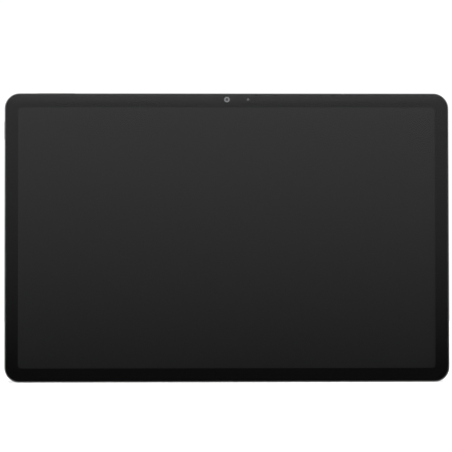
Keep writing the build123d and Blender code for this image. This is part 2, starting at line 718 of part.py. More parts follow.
with BuildPart() as tray_gasket:
    with BuildSketch(Plane.YZ.offset(HALF_W - CAP_T)):
        with Locations((y_at(PORT_DEPTH), TRAY_Z)):
            RectangleRounded(GASKET_H, GASKET_W, 0.2)
            Rectangle(BLADE_T, BLADE_W, mode=Mode.SUBTRACT)
    extrude(amount=-GASKET_T)

# ================================================================ speakers and microphones
speakers = {}
for side_name, side in (("left", -1), ("right", 1)):
    for level_name, level_z in zip(("lower", "upper"), GRILLE_Z):
        with BuildPart() as speaker:
            inner_x, outer_x = side * SPEAKER_X[0], side * SPEAKER_X[1]
            middle_x = (inner_x + outer_x) / 2
            speaker_w = SPEAKER_X[1] - SPEAKER_X[0]
            with BuildSketch(at_depth(SPEAKER_DEPTH[1])):
                with Locations((middle_x, level_z)):
                    RectangleRounded(speaker_w, SPEAKER_L, SPEAKER_CORNER_R)
            extrude(amount=SPEAKER_DEPTH[1] - SPEAKER_DEPTH[0])
            with BuildSketch(at_depth(SPEAKER_DEPTH[1])):
                with Locations((middle_x, level_z)):
                    across, along = speaker_w - 2 * DIAPHRAGM_MARGIN, SPEAKER_L - 2 * DIAPHRAGM_MARGIN
                    SlotOverall(along, across, rotation=90)
            extrude(amount=DIAPHRAGM_DEEP, mode=Mode.SUBTRACT)
            with BuildSketch(Plane.YZ.offset(outer_x)):
                with Locations((y_at(PORT_DEPTH), level_z)):
                    SlotOverall(SPEAKER_PORT_L, SPEAKER_PORT_H, rotation=90)
            extrude(amount=-side * SPEAKER_PORT_DEEP, mode=Mode.SUBTRACT)
        speakers[f"speaker_{side_name}_{level_name}"] = speaker

with BuildPart() as speaker_meshes:
    for side in (-1, 1):
        with BuildSketch(Plane.YZ.offset(side * (HALF_W - WALL))):
            with Locations([(y_at(PORT_DEPTH), z) for z in GRILLE_Z]):
                SlotOverall(MESH_L, MESH_H, rotation=90)
        extrude(amount=-side * MESH_T)

with BuildPart() as microphones:
    with BuildSketch(Plane.XY.offset(MIC_PACKAGE_Z[0])):
        with Locations([(x, y_at(PORT_DEPTH)) for x in MIC_X]):
            Rectangle(MIC_PACKAGE_W, MIC_PACKAGE_H)
    extrude(amount=MIC_PACKAGE_Z[1] - MIC_PACKAGE_Z[0])

# ================================================================ front camera
with BuildPart() as front_camera_module:
    with BuildSketch(at_depth(FRONT_MODULE_BACK)):
        with Locations((0, FRONT_CAMERA_Z)):
            Rectangle(FRONT_MODULE_W, FRONT_MODULE_H)
    extrude(amount=FRONT_MODULE_BACK - CAMERA_RING_DEPTH[1])

with BuildPart() as front_camera_ring:
    with BuildSketch(at_depth(CAMERA_RING_DEPTH[1])):
        with Locations((0, FRONT_CAMERA_Z)):
            Circle(CAMERA_RING_R)
            Circle(CAMERA_LENS_R, mode=Mode.SUBTRACT)
    extrude(amount=CAMERA_RING_DEPTH[1] - CAMERA_RING_DEPTH[0])
    ring_mouth = front_camera_ring.edges().filter_by(GeomType.CIRCLE).group_by(Axis.Y)[0]
    chamfer(ring_mouth.sort_by(SortBy.RADIUS)[0], CAMERA_RING_CHAMFER)

with BuildPart() as front_camera_lens:
    with BuildSketch(at_depth(CAMERA_RING_DEPTH[1])):
        with Locations((0, FRONT_CAMERA_Z)):
            Circle(CAMERA_LENS_R - FIT_GAP)
    extrude(amount=CAMERA_LENS_T)
    fillet(front_camera_lens.edges().group_by(Axis.Y)[0], CAMERA_LENS_ROUND)

with BuildPart() as light_sensor:
    with BuildSketch(at_depth(CAMERA_RING_DEPTH[1])):
        with Locations((SENSOR_X, FRONT_CAMERA_Z)):
            Rectangle(SENSOR_W, SENSOR_H)
    extrude(amount=CAMERA_RING_DEPTH[1] - CAMERA_RING_DEPTH[0])

# ================================================================ rear camera island
with BuildPart() as camera_island:
    with BuildSketch(at_depth(ISLAND_BACK)):
        pill(ISLAND_W, ISLAND_L)
    extrude(amount=ISLAND_BACK - THICKNESS)
    fillet(camera_island.edges().group_by(Axis.Y)[-1], ISLAND_ROUND)
    with BuildSketch(at_depth(ISLAND_BACK)):
        pill(ISLAND_W - 2 * ISLAND_RIM, ISLAND_L - 2 * ISLAND_RIM)
    extrude(amount=ISLAND_BACK - WINDOW_SEAT, mode=Mode.SUBTRACT)
    with BuildSketch(at_depth(ISLAND_BACK)):
        pill(ISLAND_W - 2 * (ISLAND_RIM + ISLAND_LEDGE), ISLAND_L - 2 * (ISLAND_RIM + ISLAND_LEDGE))
    extrude(amount=ISLAND_BACK - THICKNESS, mode=Mode.SUBTRACT)

window_inset = ISLAND_RIM + WINDOW_GAP
with BuildPart() as camera_window:
    with BuildSketch(at_depth(ISLAND_BACK)):
        pill(ISLAND_W - 2 * window_inset, ISLAND_L - 2 * window_inset)
    extrude(amount=ISLAND_BACK - WINDOW_MASK_BACK)

with BuildPart() as camera_window_mask:
    with BuildSketch(at_depth(WINDOW_MASK_BACK)):
        pill(ISLAND_W - 2 * window_inset, ISLAND_L - 2 * window_inset)
        with Locations((ISLAND_X, LENS_Z)):
            Circle(LENS_OPENING_R, mode=Mode.SUBTRACT)
        with Locations((ISLAND_X, FLASH_Z)):
            Circle(FLASH_OPENING_R, mode=Mode.SUBTRACT)
    extrude(amount=WINDOW_MASK_BACK - WINDOW_SEAT)

with BuildPart() as rear_camera_module:
    with BuildSketch(at_depth(REAR_MODULE_DEPTH[1])):
        with Locations((ISLAND_X, LENS_Z)):
            Rectangle(REAR_MODULE_W, REAR_MODULE_W)
    extrude(amount=REAR_MODULE_DEPTH[1] - REAR_MODULE_DEPTH[0])
    with BuildSketch(at_depth(SLEEVE_BACK)):
        with Locations((ISLAND_X, LENS_Z)):
            Circle(SLEEVE_R)
    extrude(amount=SLEEVE_BACK - REAR_MODULE_DEPTH[1])
    with BuildSketch(at_depth(SLEEVE_BACK)):
        with Locations((ISLAND_X, LENS_Z)):
            Circle(SLEEVE_BORE_R)
    extrude(amount=SLEEVE_BACK - SLEEVE_FLOOR, mode=Mode.SUBTRACT)

with BuildPart() as autofocus_barrel:
    with BuildSketch(at_depth(BARREL_DEPTH[1])):
        with Locations((ISLAND_X, LENS_Z)):
            Circle(BARREL_R)
    extrude(amount=BARREL_DEPTH[1] - BARREL_DEPTH[0])
    # the mouth narrows in steps towards the first lens element
    step_width = (BARREL_MOUTH_R - REAR_LENS_R) / BARREL_STEPS
    for step in range(BARREL_STEPS + 1):
        with BuildSketch(at_depth(BARREL_DEPTH[1])):
            with Locations((ISLAND_X, LENS_Z)):
                Circle(BARREL_MOUTH_R - step * step_width)
        extrude(amount=(step + 1) * BARREL_STEP_DEEP, mode=Mode.SUBTRACT)

lens_seat = BARREL_DEPTH[1] - (BARREL_STEPS + 1) * BARREL_STEP_DEEP
with BuildPart() as rear_lens:
    with BuildSketch(Plane.YZ.offset(ISLAND_X)):
        with BuildLine():
            rim_y = y_at(lens_seat + REAR_LENS_EDGE)
            lens_rim_r = REAR_LENS_R - FIT_GAP
            Line((y_at(lens_seat), LENS_Z), (y_at(lens_seat), LENS_Z + lens_rim_r))
            Line((y_at(lens_seat), LENS_Z + lens_rim_r), (rim_y, LENS_Z + lens_rim_r))
            dome_r = (lens_rim_r**2 + REAR_LENS_BULGE**2) / (2 * REAR_LENS_BULGE)
            half_turn = math.asin(lens_rim_r / dome_r) / 2
            halfway_y = rim_y + REAR_LENS_BULGE - dome_r * (1 - math.cos(half_turn))
            ThreePointArc(
                (rim_y, LENS_Z + lens_rim_r),
                (halfway_y, LENS_Z + dome_r * math.sin(half_turn)),
                (rim_y + REAR_LENS_BULGE, LENS_Z),
            )
            Line((rim_y + REAR_LENS_BULGE, LENS_Z), (y_at(lens_seat), LENS_Z))
        make_face()
    revolve(axis=Axis((ISLAND_X, 0, LENS_Z), (0, 1, 0)))

with BuildPart() as flash_mount:
    with BuildSketch(at_depth(FLASH_POST_BACK)):
        with Locations((ISLAND_X, FLASH_Z)):
            Rectangle(FLASH_POST_W, FLASH_POST_W)
    extrude(amount=FLASH_POST_BACK - PLATE_BACK)

with BuildPart() as flash_led:
    with BuildSketch(at_depth(FLASH_CHIP_BACK)):
        with Locations((ISLAND_X, FLASH_Z)):
            Rectangle(FLASH_CHIP_W, FLASH_CHIP_W)
    extrude(amount=FLASH_CHIP_BACK - FLASH_POST_BACK)

with BuildPart() as flash_lens:
    with BuildSketch(at_depth(WINDOW_MASK_BACK)):
        with Locations((ISLAND_X, FLASH_Z)):
            Circle(FLASH_OPENING_R - FIT_GAP)
    extrude(amount=WINDOW_MASK_BACK - FLASH_CHIP_BACK - LAYER_GAP)

# ================================================================ keys and their switches
wall_face_x = WALL - HALF_W
flange_x = wall_face_x + FLANGE_REST_GAP
pusher_x = flange_x + POWER_FLANGE_T
with BuildPart() as power_button:
    with BuildSketch(Plane.YZ.offset(-HALF_W - KEY_PROUD)):
        with Locations((y_at(KEY_DEPTH), POWER_Z)):
            SlotOverall(POWER_LENGTH, KEY_THICK, rotation=90)
    extrude(amount=flange_x + HALF_W + KEY_PROUD)
    fillet(power_button.edges().group_by(Axis.X)[0], KEY_EDGE_ROUND)
    with BuildSketch(Plane.YZ.offset(flange_x)):
        with Locations((y_at(KEY_DEPTH), POWER_Z)):
            SlotOverall(POWER_LENGTH + 2 * FLANGE_OVERHANG, KEY_THICK + FLANGE_OVERHANG, rotation=90)
    extrude(amount=POWER_FLANGE_T)
    with BuildSketch(Plane.YZ.offset(pusher_x)):
        with Locations((y_at(KEY_DEPTH), POWER_Z)):
            Circle(PUSHER_R)
    extrude(amount=PUSHER_LENGTH)

switch_x = pusher_x + PUSHER_LENGTH + POWER_TRAVEL + FLANGE_REST_GAP
with BuildPart() as power_switch:
    with BuildSketch(Plane.YZ.offset(switch_x)):
        with Locations((y_at(KEY_DEPTH) + SWITCH_SET_BACK, POWER_Z)):
            Rectangle(SWITCH_D, SWITCH_W)
    extrude(amount=SWITCH_T)

with BuildPart() as volume_rocker:
    with BuildSketch(Plane.XY.offset(ROCKER_FLANGE_Z[0])):
        with Locations((ROCKER_X, y_at(KEY_DEPTH))):
            SlotOverall(ROCKER_LENGTH, ROCKER_THICK)
    extrude(amount=HEIGHT + ROCKER_PROUD - ROCKER_FLANGE_Z[0])
    fillet(volume_rocker.edges().group_by(Axis.Z)[-1], KEY_EDGE_ROUND)
    with BuildSketch(Plane.XY.offset(ROCKER_FLANGE_Z[0])):
        with Locations((ROCKER_X, y_at(KEY_DEPTH))):
            SlotOverall(ROCKER_FLANGE_LENGTH, ROCKER_FLANGE_THICK)
    extrude(amount=ROCKER_FLANGE_Z[1] - ROCKER_FLANGE_Z[0])
    with BuildSketch(Plane.XY.offset(ROCKER_FLANGE_Z[0])):
        with Locations((ROCKER_X, y_at(KEY_DEPTH))):
            with GridLocations(2 * ROCKER_PUSHER_X, 1, 2, 1):
                Circle(PUSHER_R)
    extrude(amount=-ROCKER_PUSHER_LENGTH)

with BuildPart() as volume_switches:
    with BuildSketch(Plane.XY.offset(VOLUME_SWITCH_Z[0])):
        with Locations((ROCKER_X, y_at(KEY_DEPTH) + SWITCH_SET_BACK)):
            with GridLocations(2 * ROCKER_PUSHER_X, 1, 2, 1):
                Rectangle(SWITCH_W, SWITCH_D)
    extrude(amount=VOLUME_SWITCH_Z[1] - VOLUME_SWITCH_Z[0])

flex_front = PLATE_BACK + LAYER_GAP
stiffener_x = switch_x + SWITCH_T
stiffener_z = VOLUME_SWITCH_Z[0] - STIFFENER_T
flex_track_z = VOLUME_SWITCH_Z[0] - FLEX_TRACK_W
volume_stiffener_length = 2 * ROCKER_PUSHER_X + SWITCH_W + 2
with BuildPart() as button_flex:
    with BuildSketch(at_depth(STIFFENER_BACK)):
        patch((stiffener_x, stiffener_x + STIFFENER_T), around(POWER_Z, SWITCH_W + 2))
        patch(around(ROCKER_X, volume_stiffener_length), (stiffener_z, VOLUME_SWITCH_Z[0]))
    extrude(amount=STIFFENER_BACK - flex_front)
    with BuildSketch(at_depth(flex_front + FLEX_T)):
        patch((stiffener_x, stiffener_x + FLEX_TRACK_W), (POWER_Z - SWITCH_W / 2, VOLUME_SWITCH_Z[0]))
        patch((stiffener_x, ROCKER_X + FLEX_TAIL_LENGTH), (flex_track_z, VOLUME_SWITCH_Z[0]))
    extrude(amount=FLEX_T)

# ================================================================ antennas, magnets, contacts
with BuildPart() as wifi_antennas:
    with BuildSketch(at_depth(ANTENNA_DEPTH[1])):
        for x in ANTENNA_X:
            patch(around(x, ANTENNA_L), ANTENNA_Z)
    extrude(amount=ANTENNA_DEPTH[1] - ANTENNA_DEPTH[0])

with BuildPart() as cover_magnets:
    with BuildSketch(at_depth(MAGNET_DEPTH[1])):
        for x in MAGNET_X:
            patch(around(x, MAGNET_L), MAGNET_Z)
    extrude(amount=MAGNET_DEPTH[1] - MAGNET_DEPTH[0])

with BuildPart() as contact_pads:
    with BuildSketch(at_depth(THICKNESS - PAD_RECESS)):
        with Locations([(x, PAD_Z) for x in PAD_X]):
            Circle(PAD_R - FIT_GAP)
    extrude(amount=THICKNESS - PAD_RECESS - COVER_FRONT)

with BuildPart() as contact_insulator:
    with BuildSketch(at_depth(COVER_FRONT)):
        patch(around(0, INSULATOR_L), around(PAD_Z, INSULATOR_H))
    extrude(amount=COVER_FRONT - INSULATOR_FRONT)
    with BuildSketch(at_depth(THICKNESS)):
        with Locations([(x, PAD_Z) for x in PAD_X]):
            Circle(PAD_BOSS_R - FIT_GAP)
            Circle(PAD_R, mode=Mode.SUBTRACT)
    extrude(amount=THICKNESS - COVER_FRONT)

# ================================================================ files
pieces = {
    "cover_glass": cover_glass,
    "bezel_mask": bezel_mask,
    "optical_adhesive": optical_adhesive,
    "display_adhesive": display_adhesive,
    "lcd_panel": lcd_panel,
    "backlight_unit": backlight_unit,
    "display_tray": display_tray,
    "display_driver_board": display_driver_board,
    "display_flex": display_flex,
    "side_frame": side_frame,
    "antenna_strips": antenna_strips,
    "mid_plate": mid_plate,
    "mid_plate_screws": mid_plate_screws,
    "back_adhesive": back_adhesive,
    "back_cover": back_cover,
    "battery_cell_left": battery_cell_left,
    "battery_cell_right": battery_cell_right,
    "battery_board": battery_board,
    "main_board": main_board,
    "board_screws": board_screws,
    "board_chips": board_chips,
    "board_shields": board_shields,
    "graphite_sheet": graphite_sheet,
    "sub_board": sub_board,
    "interconnect_flex": interconnect_flex,
    "usb_c_shell": usb_c_shell,
    "usb_c_tongue": usb_c_tongue,
    "usb_c_contacts": usb_c_contacts,
    "card_reader": card_reader,
    "card_tray": card_tray,
    "tray_gasket": tray_gasket,
    "speaker_meshes": speaker_meshes,
    "microphones": microphones,
    "front_camera_module": front_camera_module,
    "front_camera_ring": front_camera_ring,
    "front_camera_lens": front_camera_lens,
    "light_sensor": light_sensor,
    "camera_island": camera_island,
    "camera_window": camera_window,
    "camera_window_mask": camera_window_mask,
    "rear_camera_module": rear_camera_module,
    "autofocus_barrel": autofocus_barrel,
    "rear_lens": rear_lens,
    "flash_mount": flash_mount,
    "flash_led": flash_led,
    "flash_lens": flash_lens,
    "power_button": power_button,
    "power_switch": power_switch,
    "volume_rocker": volume_rocker,
    "volume_switches": volume_switches,
    "button_flex": button_flex,
    "wifi_antennas": wifi_antennas,
    "cover_magnets": cover_magnets,
    "contact_pads": contact_pads,
    "contact_insulator": contact_insulator,
    **speakers,
}

os.makedirs("parts", exist_ok=True)
for label, piece in pieces.items():
    piece.part.label = label
    export_step(piece.part, f"parts/{label}.step")
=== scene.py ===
"""Tablet computer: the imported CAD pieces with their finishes, standing in a plain pale studio.

Lengths are metres. The screen faces -Y and the tablet stands on its long lower edge at z = 0.
"""

import json
import math

import bpy
from mathutils import Matrix, Vector


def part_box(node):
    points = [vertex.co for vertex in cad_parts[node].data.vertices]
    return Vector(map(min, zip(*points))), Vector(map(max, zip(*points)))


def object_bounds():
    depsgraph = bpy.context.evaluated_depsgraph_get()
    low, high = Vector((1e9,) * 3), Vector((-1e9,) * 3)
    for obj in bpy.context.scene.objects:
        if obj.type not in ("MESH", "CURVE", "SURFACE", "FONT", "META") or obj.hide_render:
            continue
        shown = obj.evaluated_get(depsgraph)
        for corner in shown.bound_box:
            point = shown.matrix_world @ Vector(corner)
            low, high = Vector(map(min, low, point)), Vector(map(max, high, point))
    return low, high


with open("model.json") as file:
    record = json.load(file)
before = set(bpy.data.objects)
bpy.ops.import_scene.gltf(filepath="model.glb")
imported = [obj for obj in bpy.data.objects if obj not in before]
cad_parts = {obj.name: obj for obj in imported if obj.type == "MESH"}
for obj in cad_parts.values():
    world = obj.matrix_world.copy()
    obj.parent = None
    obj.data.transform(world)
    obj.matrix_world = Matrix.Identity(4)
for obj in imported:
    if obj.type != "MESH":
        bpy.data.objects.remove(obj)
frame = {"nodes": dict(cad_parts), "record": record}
cad_low, cad_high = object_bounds()
nodes = frame["nodes"]
slot_of = {entry["node"]: entry["material_slot"] for entry in frame["record"]["subparts"]}

MM = 0.001

# ---------------------------------------------------------------- camera
# Angles are degrees and the lens is millimetres, as in Blender.
CAMERA_DISTANCE = 1.306
CAMERA_AZIMUTH = -1.27
CAMERA_ELEVATION = -2.03
CAMERA_ROLL = -0.08
CAMERA_LENS = 183.2
AIM_RIGHT = -0.64 * MM
AIM_UP = 6.55 * MM
CLOSEST_SEEN = 0.05

# ---------------------------------------------------------------- studio light
# The levels were set by comparing renders of the main view with the photograph.
# BACKDROP is what the camera sees behind the object; INNER_LIGHT is what rays find once inside glass.
BACKDROP = 1.05
INNER_LIGHT = 1.27
SKY_BELOW = 0.60
SKY_HORIZON = 0.80
SKY_TOP = 0.42
BACK_WALL = 0.60
LEFT_BOX = 1.00
RIGHT_SHADE = 0.45
DARK_FLOOR = 0.08

# Where each part of the studio fades in, along one component of the ray's direction.
SKY_FADE = (0.0, 0.9)
HORIZON_FADE = (-0.35, 0.05)
LEFT_FADE = (-0.72, -0.95)
BACK_FADE = (0.3, 0.9)
RIGHT_FADE = (0.80, 0.97)
FLOOR_FRONT_FADE = (-0.2, -0.5)
FLOOR_DOWN_FADE = (-0.05, -0.25)

SOFTBOX_PLACE = (0.30, 0.45, 0.50)
SOFTBOX_SIZE = (0.6, 0.4)
SOFTBOX_POWER = 5.0
KEY_TILT = 32.0
KEY_SOFTNESS = 60.0
KEY_STRENGTH = 3.4
FLOOR_SIZE = 12.0
FLOOR_TONE = 0.93

# The graded card in front of the screen, by height of a reflected ray: nearly even and dark at its foot,
# then brighter at a steady rate up to its top edge, where the bright studio takes over.
CARD_HEIGHTS = (-0.060, -0.025, 0.088, 0.0925)
CARD_LEVELS = (0.06, 0.08, 0.68, 1.15)
CARD_MIDDLE = 0.0227
CARD_SIDE_FADE = (0.0970, 0.2000)
CARD_TOP_FADE = (0.1, 0.30)
CARD_BOTTOM_FADE = (-0.30, -0.12)
CARD_FRONT_FADE = (-0.9, -0.97)

# ---------------------------------------------------------------- hidden seams between bonded layers
# The panel also crosses the 0.2 mm of clear film that lies between it and the glass.
INK_INTO_GLASS = 0.02 * MM
PANEL_INTO_GLASS = 0.21 * MM
FLASH_INTO_GLASS = 0.015 * MM


# ================================================================ material helpers
class Finish:
    """A Principled material and the few procedural effects that the finishes share."""

    def __init__(self, name, color, roughness, metallic=0.0):
        self.material = bpy.data.materials.new(name)
        self.material.use_nodes = True
        self.tree = self.material.node_tree
        self.shader = self.tree.nodes["Principled BSDF"]
        self.set("Base Color", (*color, 1.0))
        self.set("Roughness", roughness)
        self.set("Metallic", metallic)
        self.color = color
        self.place = self.tree.nodes.new("ShaderNodeTexCoord").outputs["Object"]

    def set(self, socket, value):
        self.shader.inputs[socket].default_value = value

    def link(self, source, socket):
        self.tree.links.new(source, self.shader.inputs[socket])

    def stretched(self, scale):
        """Object coordinates scaled differently along each axis."""
        mapping = self.tree.nodes.new("ShaderNodeMapping")
        mapping.inputs["Scale"].default_value = scale
        self.tree.links.new(self.place, mapping.inputs["Vector"])
        return mapping.outputs["Vector"]

    def noise(self, scale, detail=2.0, place=None):
        node = self.tree.nodes.new("ShaderNodeTexNoise")
        node.inputs["Scale"].default_value = scale
        node.inputs["Detail"].default_value = detail
        self.tree.links.new(place or self.place, node.inputs["Vector"])
        return node.outputs["Fac"]

    def cells(self, scale):
        node = self.tree.nodes.new("ShaderNodeTexVoronoi")
        node.inputs["Scale"].default_value = scale
        self.tree.links.new(self.place, node.inputs["Vector"])
        return node.outputs["Distance"]

    def spread(self, value, low, high, start=0.3, end=0.7):
        """Maps a texture value from start..end to low..high."""
        node = self.tree.nodes.new("ShaderNodeMapRange")
        node.inputs["From Min"].default_value = start
        node.inputs["From Max"].default_value = end
        node.inputs["To Min"].default_value = low
        node.inputs["To Max"].default_value = high
        self.tree.links.new(value, node.inputs["Value"])
        return node.outputs["Result"]

    def tint(self, value, dark, light, start=0.3, end=0.7):
        """Base colour that runs from dark to light with a texture value."""
        node = self.tree.nodes.new("ShaderNodeMix")
        node.data_type = "RGBA"
        node.inputs["A"].default_value = (*dark, 1.0)
        node.inputs["B"].default_value = (*light, 1.0)
        self.tree.links.new(self.spread(value, 0.0, 1.0, start, end), node.inputs["Factor"])
        self.link(node.outputs["Result"], "Base Color")

    def mottle(self, scale, share):
        """Slight cloudy change of the base colour, up and down by this share."""
        dark = [channel * (1 - share) for channel in self.color]
        light = [channel * (1 + share) for channel in self.color]
        self.tint(self.noise(scale), dark, light)

    def uneven_gloss(self, scale, low, high):
        self.link(self.spread(self.noise(scale, 4.0), low, high), "Roughness")

    def bump(self, value, height, strength=1.0):
        node = self.tree.nodes.new("ShaderNodeBump")
        node.inputs["Strength"].default_value = strength
        node.inputs["Distance"].default_value = height
        self.tree.links.new(value, node.inputs["Height"])
        self.link(node.outputs["Normal"], "Normal")


# ================================================================ finishes
def anodised_aluminium(name, tone):
    """Bead-blasted and anodised: a very fine pitted grain with a satin gloss."""
    finish = Finish(name, tone, 0.36, 1.0)
    finish.mottle(35.0, 0.012)
    finish.uneven_gloss(900.0, 0.31, 0.41)
    finish.bump(finish.noise(7000.0, 1.0), 0.004 * MM, 0.5)
    return finish.material


def clear_cover_glass():
    """Polished glass whose oil-repellent coat carries the faintest smears."""
    finish = Finish("cover_glass_polished", (1.0, 1.0, 1.0), 0.0)
    finish.set("Transmission Weight", 1.0)
    finish.set("IOR", 1.5)
    finish.uneven_gloss(28.0, 0.0, 0.012)
    return finish.material


def black_ink():
    """Black border print, one tone all over but for a faint mottle."""
    finish = Finish("black_border_ink", (0.0012, 0.0012, 0.0012), 0.6)
    finish.set("Specular IOR Level", 0.0)
    finish.mottle(50.0, 0.02)
    return finish.material


def dark_display():
    """A switched-off liquid crystal panel: dark grey, with its columns of pixels just there."""
    finish = Finish("display_switched_off", (0.0182, 0.0182, 0.0184), 0.5)
    finish.set("Specular IOR Level", 0.0)
    columns = finish.tree.nodes.new("ShaderNodeTexWave")
    columns.inputs["Scale"].default_value = 520.0
    finish.tree.links.new(finish.place, columns.inputs["Vector"])
    finish.tint(columns.outputs["Fac"], (0.0172, 0.0172, 0.0174), (0.0192, 0.0192, 0.0194), 0.0, 1.0)
    return finish.material


def clear_film():
    finish = Finish("clear_bonding_film", (0.95, 0.95, 0.95), 0.05)
    finish.set("Transmission Weight", 1.0)
    finish.set("IOR", 1.5)
    finish.mottle(50.0, 0.02)
    return finish.material


def foam_tape():
    finish = Finish("black_foam_tape", (0.02, 0.02, 0.02), 0.9)
    finish.mottle(1500.0, 0.3)
    finish.bump(finish.cells(6000.0), 0.03 * MM)
    return finish.material


def light_guide():
    finish = Finish("milky_light_guide", (0.82, 0.83, 0.84), 0.35)
    finish.bump(finish.cells(2500.0), 0.01 * MM)
    finish.mottle(60.0, 0.03)
    return finish.material


def rolled_steel():
    """Stainless sheet with the fine lines of rolling along X."""
    finish = Finish("rolled_steel_sheet", (0.58, 0.575, 0.56), 0.3, 1.0)
    lines = finish.noise(1.0, 3.0, finish.stretched((60.0, 5000.0, 5000.0)))
    finish.link(finish.spread(lines, 0.22, 0.4), "Roughness")
    finish.bump(lines, 0.002 * MM)
    finish.mottle(80.0, 0.03)
    return finish.material


def woven_mesh():
    """Fine acoustic mesh behind the speaker holes."""
    finish = Finish("acoustic_mesh_weave", (0.05, 0.05, 0.05), 0.55, 0.6)
    weave = finish.cells(5500.0)
    finish.tint(weave, (0.10, 0.10, 0.10), (0.012, 0.012, 0.012), 0.2, 0.6)
    finish.bump(weave, 0.03 * MM)
    return finish.material


def circuit_board():
    """Dark green solder mask over a pattern of copper tracks."""
    finish = Finish("solder_masked_board", (0.012, 0.055, 0.032), 0.3)
    tracks = finish.tree.nodes.new("ShaderNodeTexBrick")
    tracks.inputs["Scale"].default_value = 300.0
    tracks.inputs["Mortar Size"].default_value = 0.03
    tracks.inputs["Color1"].default_value = (0.010, 0.048, 0.028, 1.0)
    tracks.inputs["Color2"].default_value = (0.014, 0.060, 0.036, 1.0)
    tracks.inputs["Mortar"].default_value = (0.030, 0.110, 0.060, 1.0)
    turned = finish.tree.nodes.new("ShaderNodeMapping")
    turned.inputs["Rotation"].default_value = (math.radians(90), 0.0, 0.0)
    finish.tree.links.new(finish.place, turned.inputs["Vector"])
    finish.tree.links.new(turned.outputs["Vector"], tracks.inputs["Vector"])
    finish.link(tracks.outputs["Color"], "Base Color")
    finish.bump(tracks.outputs["Fac"], 0.02 * MM)
    return finish.material


def polyimide():
    """Amber film with parallel copper tracks under its cover layer."""
    finish = Finish("amber_polyimide", (0.42, 0.20, 0.045), 0.35)
    tracks = finish.noise(1.0, 0.0, finish.stretched((20.0, 20.0, 4000.0)))
    finish.tint(tracks, (0.30, 0.13, 0.03), (0.50, 0.26, 0.07), 0.45, 0.55)
    finish.bump(tracks, 0.01 * MM)
    return finish.material


def pouch_foil():
    """Laminated battery pouch, faintly wrinkled."""
    finish = Finish("battery_pouch_foil", (0.34, 0.345, 0.35), 0.4, 0.8)
    finish.uneven_gloss(300.0, 0.32, 0.48)
    finish.bump(finish.noise(120.0, 5.0), 0.12 * MM, 0.5)
    finish.mottle(60.0, 0.05)
    return finish.material


def cast_magnesium():
    finish = Finish("cast_magnesium", (0.33, 0.33, 0.335), 0.5, 0.9)
    finish.mottle(250.0, 0.08)
    finish.bump(finish.noise(1800.0, 4.0), 0.02 * MM)
    return finish.material


def plated_screw():
    finish = Finish("dark_plated_screw", (0.26, 0.26, 0.27), 0.3, 1.0)
    finish.uneven_gloss(4000.0, 0.22, 0.42)
    finish.mottle(2500.0, 0.08)
    return finish.material


def moulded(name, tone, roughness, grain):
    """Moulded plastic with a spark-eroded grain of this size in millimetres."""
    finish = Finish(name, tone, roughness)
    finish.mottle(400.0, 0.12)
    finish.uneven_gloss(1200.0, roughness - 0.06, roughness + 0.06)
    finish.bump(finish.noise(1.0 / (grain * MM), 2.0), 0.01 * MM, 0.6)
    return finish.material


def graphite_film():
    finish = Finish("graphite_film", (0.06, 0.06, 0.065), 0.42, 0.4)
    finish.mottle(150.0, 0.15)
    finish.bump(finish.noise(2500.0, 3.0), 0.01 * MM)
    return finish.material


def gold_plate():
    finish = Finish("gold_plated_contact", (0.70, 0.47, 0.18), 0.24, 1.0)
    finish.uneven_gloss(2500.0, 0.16, 0.34)
    finish.mottle(600.0, 0.05)
    return finish.material


def soft_rubber():
    finish = Finish("soft_seal_rubber", (0.025, 0.025, 0.026), 0.75)
    finish.mottle(700.0, 0.2)
    finish.bump(finish.noise(3500.0, 2.0), 0.01 * MM)
    return finish.material


def camera_cover_glass():
    finish = Finish("camera_cover_glass", (1.0, 1.0, 1.0), 0.0)
    finish.set("Transmission Weight", 1.0)
    finish.set("IOR", 1.5)
    finish.uneven_gloss(90.0, 0.0, 0.01)
    return finish.material


def camera_plastic():
    """Deep matt black plastic of lens barrels and camera housings, which kills stray light."""
    finish = Finish("camera_black_plastic", (0.010, 0.010, 0.010), 0.6)
    finish.set("Specular IOR Level", 0.15)
    finish.mottle(400.0, 0.12)
    finish.bump(finish.noise(8000.0, 2.0), 0.01 * MM, 0.6)
    return finish.material


def coated_lens():
    """Dark lens element whose anti-reflection coat leaves a violet blue sheen: partly a real tinted
    reflection, partly painted sheen in the base colour.
    """
    finish = Finish("coated_camera_lens", (0.006, 0.008, 0.022), 0.04)
    finish.set("Specular Tint", (0.45, 0.40, 1.0, 1.0))
    finish.set("IOR", 1.38)
    finish.set("Coat Weight", 0.15)
    finish.set("Coat Roughness", 0.02)
    # Blue to violet mottle of the base colour: painted sheen of the anti-reflection coat.
    finish.tint(finish.noise(500.0, 0.0), (0.004, 0.006, 0.022), (0.018, 0.006, 0.026), 0.35, 0.65)
    return finish.material


def phosphor():
    finish = Finish("flash_phosphor", (0.78, 0.66, 0.16), 0.6)
    finish.mottle(2500.0, 0.08)
    finish.bump(finish.noise(6000.0, 2.0), 0.01 * MM)
    return finish.material


def flash_lens_plastic():
    """Clear moulded lens over the flash, with ring-shaped facets."""
    finish = Finish("flash_lens_clear", (0.93, 0.92, 0.86), 0.12)
    finish.set("Transmission Weight", 0.75)
    finish.set("IOR", 1.49)
    low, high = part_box("flash_lens")
    centred = finish.tree.nodes.new("ShaderNodeMapping")
    centred.inputs["Location"].default_value = [-(a + b) / 2 for a, b in zip(low, high)]
    finish.tree.links.new(finish.place, centred.inputs["Vector"])
    rings = finish.tree.nodes.new("ShaderNodeTexWave")
    rings.wave_type = "RINGS"
    rings.rings_direction = "Y"
    rings.inputs["Scale"].default_value = 420.0
    finish.tree.links.new(centred.outputs["Vector"], rings.inputs["Vector"])
    finish.bump(rings.outputs["Fac"], 0.06 * MM)
    finish.mottle(300.0, 0.03)
    return finish.material


def nickel():
    finish = Finish("nickel_plated_magnet", (0.63, 0.61, 0.57), 0.2, 1.0)
    finish.uneven_gloss(400.0, 0.14, 0.28)
    finish.mottle(200.0, 0.04)
    return finish.material


